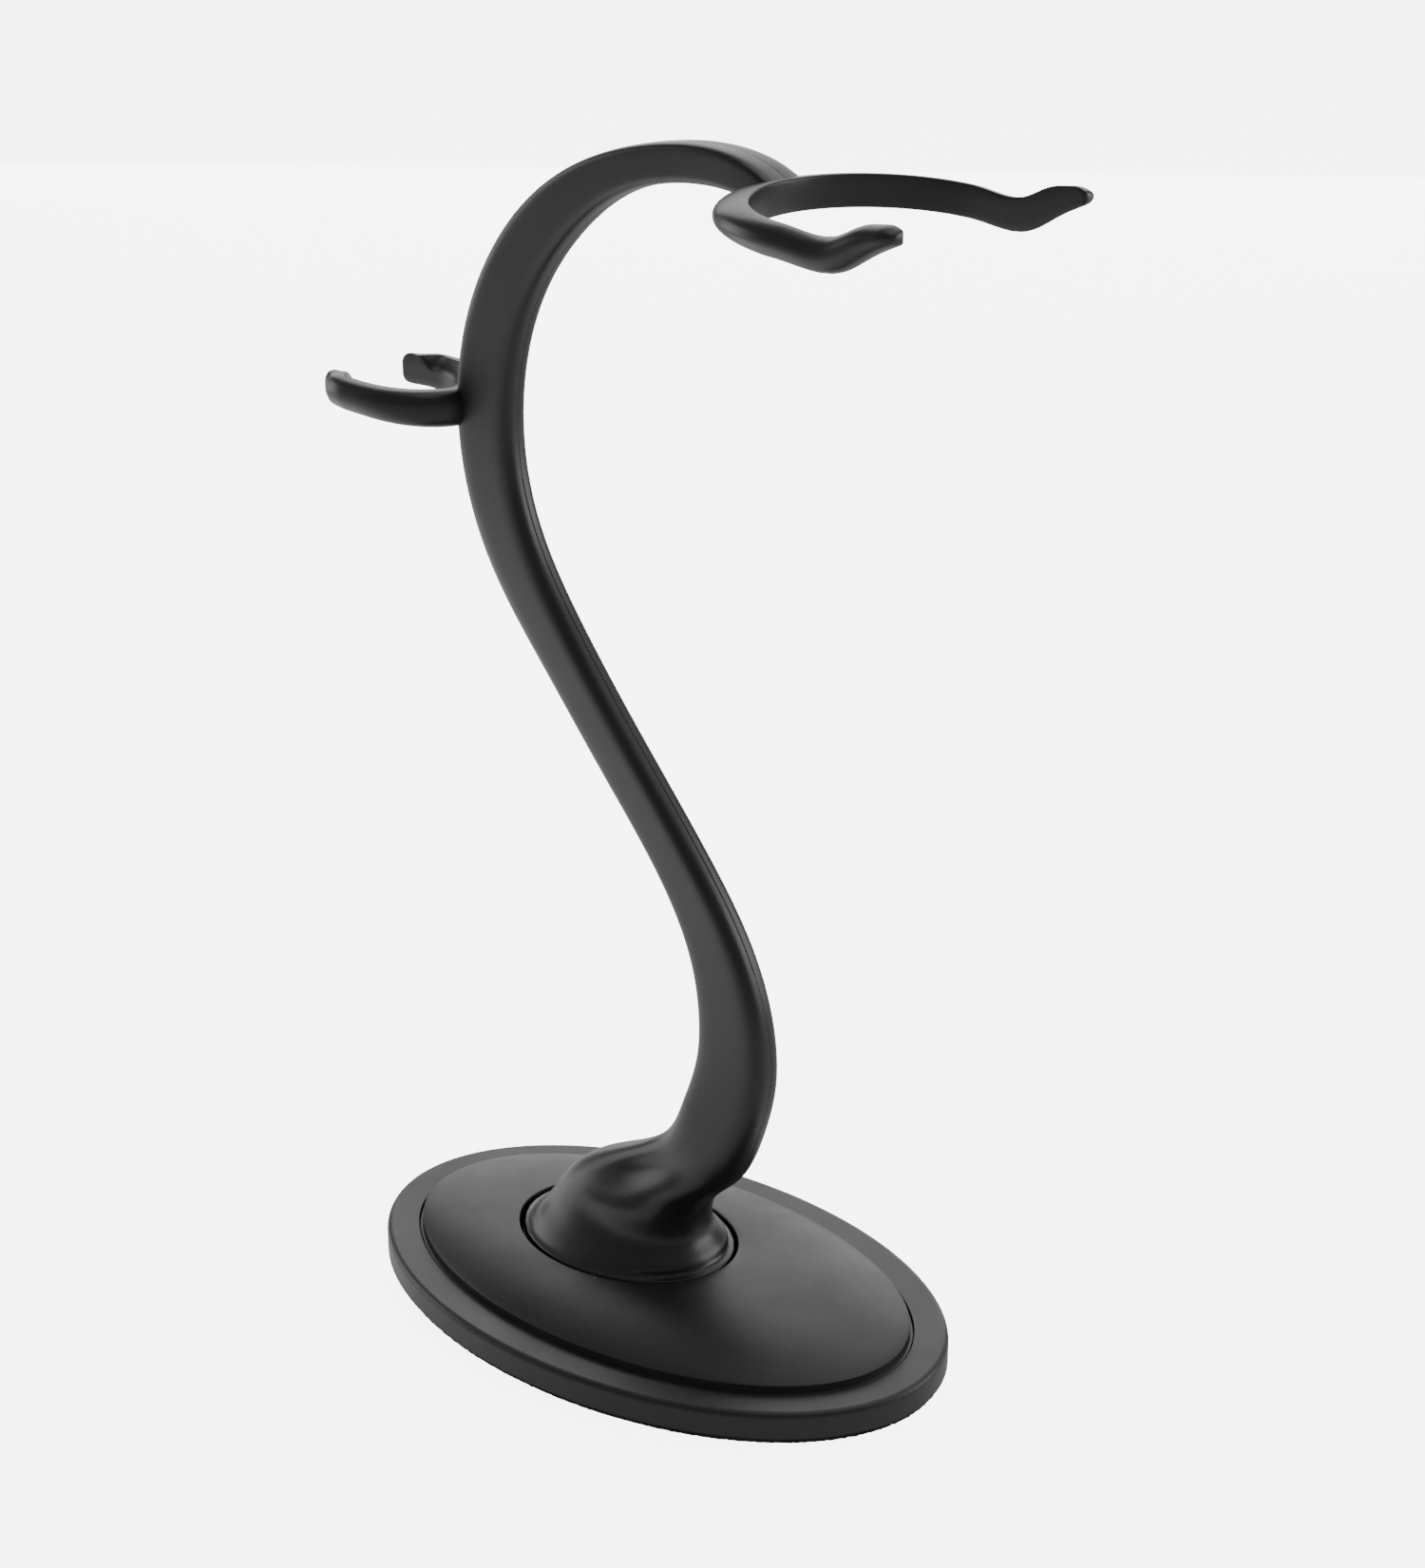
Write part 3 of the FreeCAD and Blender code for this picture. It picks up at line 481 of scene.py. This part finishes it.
def stem_stations():
    """Rear point, front point, half thickness, power, taper and hollow of each station, in mm."""
    line = smooth_rows([(x, z, 0.0, 0.0) for x, z, _, _ in BLADE], STATION_STEPS)
    rows = []
    for index, (x, z, half_depth, half_thick) in enumerate(BLADE):
        here = index * STATION_STEPS
        before, after = line[max(here - 1, 0)], line[min(here + 1, len(line) - 1)]
        along = Vector((after[0] - before[0], 0, after[1] - before[1])).normalized()
        aside = Vector((along.z, 0, -along.x)) * half_depth
        power = TOP_POWER - POWER_FALL * min(1.0, index / FALL_STATIONS)
        rows.append((x + aside.x, z + aside.z, x - aside.x, z - aside.z, half_thick * BLADE_THINNING,
                     power, 0.0, 0.0))
    rows += [(*ends, half, FOOT_POWER, taper, hollow) for *ends, half, taper, hollow in FOOT]
    for share, rise in ((0.945, 0.5), (0.985, 0.02)):
        half_length, height = COLLAR_LENGTH * share, COLLAR_TOP + rise
        rows.append((COLLAR_SHIFT - half_length, height, COLLAR_SHIFT + half_length, height,
                     COLLAR_WIDTH * share, COLLAR_POWER, 0.0, 0.0))
    return rows


def build_stem(sizes):
    """Blade, trumpet foot and oval collar in one skin, with the parting seam along its edges."""
    angles = section_angles(STEM_ANGLE_POWER)
    rings = []
    for rx, rz, fx, fz, half, power, taper, hollow in smooth_rows(stem_stations(), CURVE_STEPS):
        fade = min(1.0, max(0.0, (fz - SEAM_FROM) / SEAM_FADE))
        rings.append(stem_ring(Vector((rx, 0, rz)), Vector((fx, 0, fz)), half, power, max(taper, 0.0),
                               max(hollow, 0.0), sizes.seam_depth / MM * fade, angles))
    edge = sizes.edge_radius / MM
    for inset, drop in ((edge, 0.0), (edge * 0.7, edge * 0.08), (edge * 0.3, edge * 0.4), (0.0, edge),
                        (0.0, COLLAR_DEEP), (edge + 2.6, 2.9), (edge + 3.2, 8.0)):
        rings.append(collar_ring(inset, COLLAR_TOP - drop, angles))
    out = (sum(rings[0], Vector()) - sum(rings[1], Vector())).normalized()
    rings.insert(0, shrunk(rings[0], 0.8, out * 0.3))
    return skin("stem_moulding", [[point * MM for point in ring] for ring in rings])


# ---------------------------------------------------------------- yokes

TURN_STEPS = 12
YOKE_CURVE_STEPS = 5


def yoke_stations(shape, tips):
    """Rows round a yoke from one tip to the other: place, outward direction, heights, wall, bevel."""
    way = shape["way"]
    tall = shape["high"] - shape["low"]
    arm = []
    for step in range(TURN_STEPS + 1):
        turn = math.radians(90.0 / TURN_STEPS * step)
        bend = math.cos(turn) ** 2
        x = shape["centre"] - way * shape["reach"] * math.cos(turn)
        y = shape["half_gap"] * math.sin(turn)
        outward = Vector((-way * math.cos(turn) / shape["reach"], math.sin(turn) / shape["half_gap"]))
        outward.normalize()
        low = shape["low"] + shape["slope"] * x
        wall = shape["root_wall"] + (shape["arm_wall"] - shape["root_wall"]) * math.sin(turn) ** 4
        bevel = shape["bevel_width"] + (shape["root_bevel"] - shape["bevel_width"]) * bend
        arm.append((x, y, low - shape["root_drop"] * bend, low + tall, outward.x, outward.y, wall, bevel,
                    shape["bevel_drop"]))
    kink_low = shape["low"] + shape["slope"] * shape["kink"]
    for share, rise, under, wall_share, bevel_share in tips:
        x = shape["kink"] + (shape["tip"] - shape["kink"]) * share
        y = shape["half_gap"] - shape["toe_in"] * abs(x - shape["centre"])
        arm.append((x, y, kink_low + under, kink_low + tall + rise, 0.0, 1.0, shape["arm_wall"] * wall_share,
                    shape["bevel_width"] * bevel_share, shape["bevel_drop"] * bevel_share))
    other = [(x, -y, low, high, out_x, -out_y, *rest) for x, y, low, high, out_x, out_y, *rest in arm[1:]]
    return smooth_rows(list(reversed(other)) + arm, YOKE_CURVE_STEPS)


CORNER_TURNS = (0.0, 0.4, 0.8, 1.2, 1.5708)
OUTSIDE_STEPS = 20


def yoke_ring(shape, edge, row):
    """A section: flat inner face with small roundings, a bevel at its top and a round outside."""
    x, y, low, high, out_x, out_y, wall, bevel_width, bevel_drop = row
    outward = Vector((out_x, out_y, 0)).normalized()
    inner = Vector((x, y, 0))
    middle, half = (low + high) / 2.0, (high - low) / 2.0
    flat = max(wall - shape["round"], 0.5)
    r = min(edge, half * 0.3, wall * 0.3)
    soft = min(bevel_drop * 0.7, half * 0.4)
    outline = [(r * (1.0 - math.sin(a)), low + r * (1.0 - math.cos(a))) for a in CORNER_TURNS]
    outline += [(0.0, low + half * share) for share in (0.5, 0.9, 1.2)]
    knee = high - bevel_drop
    run = bevel_width * soft / max(bevel_drop, 1e-6)
    for t in (0.0, 0.25, 0.5, 0.75, 1.0):
        outline.append((run * t * t, knee - soft * (1.0 - t) ** 2 + soft * t * t))
    last_out, last_up = outline[-1]
    for s in (0.5, 0.9):
        outline.append((last_out + (bevel_width - last_out) * s, last_up + (high - last_up) * s))
    notch = shape["notch"] * min(1.0, bevel_width / 3.0)
    outline += [(bevel_width, high - notch), (bevel_width + 0.12 + notch * 0.4, high)]
    outline += [(bevel_width + (flat - bevel_width) * s, high) for s in (0.4, 0.8)]
    for step in range(OUTSIDE_STEPS + 1):
        angle = math.pi / 2.0 - math.pi * step / OUTSIDE_STEPS
        outline.append((flat + (wall - flat) * signed_power(math.cos(angle), 2.0 / shape["power"]),
                        middle + half * signed_power(math.sin(angle), 2.0 / shape["power"])))
    outline += [(flat * 0.7 + r * 0.3, low), (flat * 0.3 + r * 0.7, low)]
    return [inner + outward * out + Vector((0, 0, up)) for out, up in outline]


def rounded_end(end, beside, caps):
    """Ever smaller copies of an end ring, going outwards."""
    out = (sum(end, Vector()) - sum(beside, Vector())).normalized()
    return [shrunk(end, share, out * reach) for share, reach in caps]


def build_yoke(name, shape, tips, edge):
    """A yoke as one skin from tip to tip."""
    rings = [yoke_ring(shape, edge / MM, row) for row in yoke_stations(shape, tips)]
    start = rounded_end(rings[0], rings[1], shape["caps"])
    finish = rounded_end(rings[-1], rings[-2], shape["caps"])
    rings = list(reversed(start)) + rings + finish
    return skin(name, [[point * MM for point in ring] for ring in rings])


# ---------------------------------------------------------------- base

def oval(half_length, half_width, height, around, shift=0.0):
    turns = [2.0 * math.pi * i / around for i in range(around)]
    return [Vector((shift + half_length * math.cos(t), half_width * math.sin(t), height)) for t in turns]


CROWN_SHARES = (0.9975, 0.993, 0.985, 0.975, 0.96, 0.94, 0.91, 0.87, 0.82, 0.75, 0.67, 0.6)
CROWN_BLEND_FROM = 5
CROWN_REACH = 0.86


def dome_height(point, half_length, half_width, low, high):
    """Height of the crown above a place."""
    share = min(1.0, math.hypot(point.x / half_length, point.y / half_width))
    return low + (high - low) * (1.0 - share ** 4) ** 0.9


def crown_ring(share, toward, half_length, half_width, low, high, around):
    """A ring on the crown, on its way from the edge's oval to the mouth's oval."""
    outer = oval(half_length * share, half_width * share, 0.0, around)
    inner = oval(MOUTH_LENGTH + MOUTH_EDGE, MOUTH_WIDTH + MOUTH_EDGE, 0.0, around, MOUTH_SHIFT)
    ring = [edge.lerp(mouth, toward) for edge, mouth in zip(outer, inner)]
    for point in ring:
        point.z = dome_height(point, half_length, half_width, low, high)
    return ring


def crown_rings(half_length, half_width, low, high, around):
    """The crown's rings from its edge up to just short of the mouth."""
    span = len(CROWN_SHARES) - 1 - CROWN_BLEND_FROM
    rings = []
    for index, share in enumerate(CROWN_SHARES):
        toward = CROWN_REACH * max(0.0, (index - CROWN_BLEND_FROM) / span) ** 1.3
        rings.append(crown_ring(share, toward, half_length, half_width, low, high, around))
    return rings


def mouth_rings(brim, around):
    """The mouth's rounded edge and its wall down through the cover."""
    rings = []
    for inset, drop in MOUTH_STEPS:
        grow = MOUTH_EDGE - inset * MM
        ring = oval(MOUTH_LENGTH + grow, MOUTH_WIDTH + grow, 0.0, around, MOUTH_SHIFT)
        for point, top in zip(ring, brim):
            point.z = top.z - drop * MM
        rings.append(ring)
    return rings


def lip_rings(half_length, half_width, around):
    """The lip's outer wall and its small rounded edge."""
    top = RIM_HIGH.z - LIP_SINK
    rings = [oval(half_length, half_width, RIM_HIGH.z - COVER_WALL, around)]
    for inset, drop in ((0.0, LIP_EDGE), (LIP_EDGE * 0.3, LIP_EDGE * 0.3), (LIP_EDGE, 0.0)):
        rings.append(oval(half_length - inset, half_width - inset, top - drop, around))
    return rings


def build_dome(sizes):
    """The cover: lip, riser with a small fillet, crown, rounded mouth and the same inside."""
    around = sizes.around
    rim = Vector((RIM_HIGH.x - RIM_BAND, RIM_HIGH.y - RIM_BAND))
    lip = rim - Vector((1.0, 1.0)) * sizes.joint_gap * 2.0
    riser = rim - Vector((1.0, 1.0)) * (sizes.joint_gap + sizes.lip_width)
    rings = lip_rings(lip.x, lip.y, around)
    for out, up in ((0.35, 0.0), (0.12, 0.1), (0.0, 0.32)):
        rings.append(oval(riser.x + out * MM, riser.y + out * MM, RIM_HIGH.z - LIP_SINK + up * MM, around))
    rings.append(oval(riser.x, riser.y, sizes.riser_top, around))
    rings += crown_rings(riser.x, riser.y, sizes.riser_top, sizes.dome_top, around)
    brim = crown_ring(CROWN_SHARES[-1], 1.0, riser.x, riser.y, sizes.riser_top, sizes.dome_top, around)
    rings.append(brim)
    rings += mouth_rings(brim, around)
    inner = riser - Vector((1.0, 1.0)) * COVER_WALL
    vault = crown_rings(inner.x, inner.y, sizes.riser_top - COVER_WALL, sizes.dome_top - COVER_WALL, around)
    rings += reversed(vault[::2])
    rings.append(oval(inner.x, inner.y, RIM_HIGH.z - COVER_WALL, around))
    return skin("dome_shell", rings, loop=True)


def build_foam(sizes):
    """The foam sheet with a torn cut edge that bulges a little under the weight."""
    around = sizes.around * 3
    half_x, half_y = PAD_HIGH.x, PAD_HIGH.y
    rings = []
    for inset, height in FOAM_STEPS:
        ring = oval(half_x - inset * MM, half_y - inset * MM, height * MM, around)
        if inset < 1.0:
            for point in ring:
                bits = noise.noise(point * 900.0) + 0.6 * noise.noise(point * 2300.0)
                point.xy *= 1.0 + sizes.foam_tear * bits / half_x
        rings.append(ring)
    return skin("foam_sheet", rings)


# ---------------------------------------------------------------- operators

class StandOperator:
    bl_options = {"REGISTER", "UNDO"}

    @property
    def sizes(self):
        return bpy.context.scene.stand_sizes

    @property
    def finish(self):
        return bpy.context.scene.stand_finish


class STAND_OT_effects(StandOperator, bpy.types.Operator):
    """Makes the shader groups that the finishes share"""
    bl_idname = "stand.effects"
    bl_label = "Shared effects"

    def execute(self, context):
        for make in (make_grain_group, make_mottle_group, make_dust_group, make_scuff_group):
            make()
        return {"FINISHED"}


class STAND_OT_stem(StandOperator, bpy.types.Operator):
    """Makes the S-shaped stem with its trumpet foot"""
    bl_idname = "stand.stem"
    bl_label = "Stem"

    def execute(self, context):
        finish = self.finish
        material = moulded_plastic("stem_plastic", finish.plastic, finish.stem_roughness, STEM_GRAIN,
                                   finish.dust)
        show("stem_moulding", build_stem(self.sizes), material, "stem_plastic", "stem", crisp=50.0)
        return {"FINISHED"}


class STAND_OT_yokes(StandOperator, bpy.types.Operator):
    """Makes the front fork and the rear hook"""
    bl_idname = "stand.yokes"
    bl_label = "Fork and hook"

    def execute(self, context):
        finish = self.finish
        for name, shape, tips, slot, node in (("fork_moulding", FORK, FORK_TIP, "fork_plastic", "front_fork"),
                                              ("hook_moulding", HOOK, HOOK_TIP, "hook_plastic", "rear_hook")):
            material = moulded_plastic(slot, finish.plastic, finish.stem_roughness, STEM_GRAIN, finish.dust)
            data = build_yoke(name, shape, tips, self.sizes.edge_radius)
            show(name, data, material, slot, node, crisp=50.0)
        return {"FINISHED"}


class STAND_OT_base(StandOperator, bpy.types.Operator):
    """Makes the dome and the foam sheet, and finishes the tray"""
    bl_idname = "stand.base"
    bl_label = "Base"

    def execute(self, context):
        finish = self.finish
        material = moulded_plastic("shell_plastic", finish.plastic, finish.base_roughness, BASE_GRAIN,
                                   finish.dust * 1.3)
        show("dome_shell", build_dome(self.sizes), material, "shell_plastic", "dome_cover")
        show("foam_sheet", build_foam(self.sizes), foam_material(finish.foam), "foam", "foot_pad", crisp=60.0)
        wear(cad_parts["base_frame"], material)
        return {"FINISHED"}


class STAND_OT_inside(StandOperator, bpy.types.Operator):
    """Finishes the parts inside the base"""
    bl_idname = "stand.inside"
    bl_label = "Hidden parts"

    def execute(self, context):
        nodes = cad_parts
        wear(nodes["pad_adhesive"], film_material())
        wear(nodes["counterweight"],
             metal_material("steel_plate", (0.30, 0.30, 0.31), (0.50, 0.50, 0.51), 0.42,
                            (1.0, 16.0, 16.0), 0.02 * MM))
        wear(nodes["stem_inserts"],
             metal_material("brass_insert", (0.55, 0.38, 0.14), (0.80, 0.60, 0.28), 0.32,
                            (6.0, 6.0, 1.0), 0.02 * MM))
        zinc = metal_material("zinc_screw", (0.46, 0.46, 0.48), (0.68, 0.69, 0.72), 0.33,
                              (2.0, 2.0, 8.0), 0.01 * MM)
        for name in ("stem_screws", "weight_screws", "cover_screws"):
            wear(nodes[name], zinc)
        return {"FINISHED"}


FLOOR_HALF = 9.0
# The floor shows white to the camera and gives a dimmer light to the stand.
WHITE_GLOW = 6.0
SHADED_FLOOR = (0.32, 0.32, 0.32)
BRIGHT_SPOT = (-0.45, -0.20, 0.0)
WORLD_STRENGTH = 0.27
# Name, place, size and power of each soft light.
LIGHTS = (("overhead", (0.2, 0.5, 1.6), 1.4, 6.0), ("back_wall", (-1.0, 1.3, 0.72), 1.8, 18.0),
          ("left_wall", (-1.5, -0.35, 0.45), 0.9, 5.0), ("right_wall", (1.0, 1.15, 0.55), 0.9, 9.0))
LIGHT_TARGET = (0.0, 0.0, 0.15)
CAMERA_TARGET = (18.8, 0.0, 147.1)
CAMERA_DISTANCE = 0.6998
CAMERA_AROUND, CAMERA_ABOVE = 41.44, 20.55
LENS = 67.27


def area_light(name, place, size, power):
    light = bpy.data.lights.new(name, "AREA")
    light.shape = "RECTANGLE"
    light.size = size
    light.size_y = size
    light.energy = power
    obj = bpy.data.objects.new(name, light)
    obj.location = place
    obj.rotation_euler = (Vector(LIGHT_TARGET) - Vector(place)).to_track_quat("-Z", "Y").to_euler()
    bpy.context.scene.collection.objects.link(obj)


def floor_material():
    """Pale floor, white to the camera, with a mild bright spot that the stand's gloss picks up."""
    material, tree, shader = start_material("pale_floor", 0.85, Specular_IOR_Level=0.1)
    tone = effect(tree, "soft_mottle", Scale=2.0)
    shader.inputs["Emission Color"].default_value = (1.0, 1.0, 1.0, 1.0)
    seen = add(tree, "ShaderNodeLightPath").outputs["Is Camera Ray"]
    shaded = mix_colour(tree, seen, SHADED_FLOOR, mix_colour(tree, tone, (0.86,) * 3, (0.90,) * 3))
    tree.links.new(shaded, shader.inputs["Base Color"])
    place = add(tree, "ShaderNodeTexCoord").outputs["Object"]
    away = add(tree, "ShaderNodeVectorMath", {0: place, 1: BRIGHT_SPOT}, operation="DISTANCE")
    bounce = remap(tree, away.outputs["Value"], 0.10, 0.50, 2.1, 0.5)
    glow = remap(tree, seen, 0.0, 1.0, bounce, WHITE_GLOW)
    tree.links.new(glow, shader.inputs["Emission Strength"])
    return material


class STAND_OT_stage(StandOperator, bpy.types.Operator):
    """Makes the floor, the soft studio light and the camera"""
    bl_idname = "stand.stage"
    bl_label = "Stage"

    def execute(self, context):
        scene = bpy.context.scene
        mesh = bmesh.new()
        bmesh.ops.create_grid(mesh, x_segments=8, y_segments=8, size=FLOOR_HALF)
        data = bpy.data.meshes.new("floor")
        mesh.to_mesh(data)
        mesh.free()
        floor = bpy.data.objects.new("floor", data)
        scene.collection.objects.link(floor)
        data.materials.append(floor_material())

        world = bpy.data.worlds.new("studio")
        scene.world = world
        world.use_nodes = True
        sky = world.node_tree.nodes["Background"]
        sky.inputs["Color"].default_value = (0.95, 0.97, 1.0, 1.0)
        sky.inputs["Strength"].default_value = WORLD_STRENGTH
        for light in LIGHTS:
            area_light(*light)

        camera_data = bpy.data.cameras.new("camera")
        camera_data.sensor_width = 36.0
        camera_data.lens = LENS
        camera_data.clip_end = 50.0
        camera = bpy.data.objects.new("camera", camera_data)
        scene.collection.objects.link(camera)
        around, above = math.radians(CAMERA_AROUND), math.radians(CAMERA_ABOVE)
        back = Vector((math.sin(around) * math.cos(above), -math.cos(around) * math.cos(above),
                       math.sin(above)))
        camera.location = Vector(CAMERA_TARGET) * MM + back * CAMERA_DISTANCE
        camera.rotation_euler = (math.pi / 2.0 - above, 0.0, around)
        scene.camera = camera
        return {"FINISHED"}


class STAND_PT_panel(bpy.types.Panel):
    bl_idname = "STAND_PT_panel"
    bl_label = "Headphone Stand"
    bl_space_type = "VIEW_3D"
    bl_region_type = "UI"
    bl_category = "Stand"

    def draw(self, context):
        for operator in OPERATORS:
            self.layout.operator(operator.bl_idname)
        for group in (context.scene.stand_sizes, context.scene.stand_finish):
            for name in group.bl_rna.properties.keys():
                if name not in ("rna_type", "name"):
                    self.layout.prop(group, name)


OPERATORS = (STAND_OT_effects, STAND_OT_stem, STAND_OT_yokes, STAND_OT_base, STAND_OT_inside, STAND_OT_stage)
CLASSES = (StandSizes, StandFinish) + OPERATORS + (STAND_PT_panel,)


def register():
    for cls in CLASSES:
        bpy.utils.register_class(cls)
    bpy.types.Scene.stand_sizes = PointerProperty(type=StandSizes)
    bpy.types.Scene.stand_finish = PointerProperty(type=StandFinish)


def unregister():
    del bpy.types.Scene.stand_finish
    del bpy.types.Scene.stand_sizes
    for cls in reversed(CLASSES):
        bpy.utils.unregister_class(cls)


def main():
    register()
    bpy.ops.stand.effects()
    bpy.ops.stand.stem()
    bpy.ops.stand.yokes()
    bpy.ops.stand.base()
    bpy.ops.stand.inside()
    bpy.ops.stand.stage()


if __name__ == "__main__":
    main()
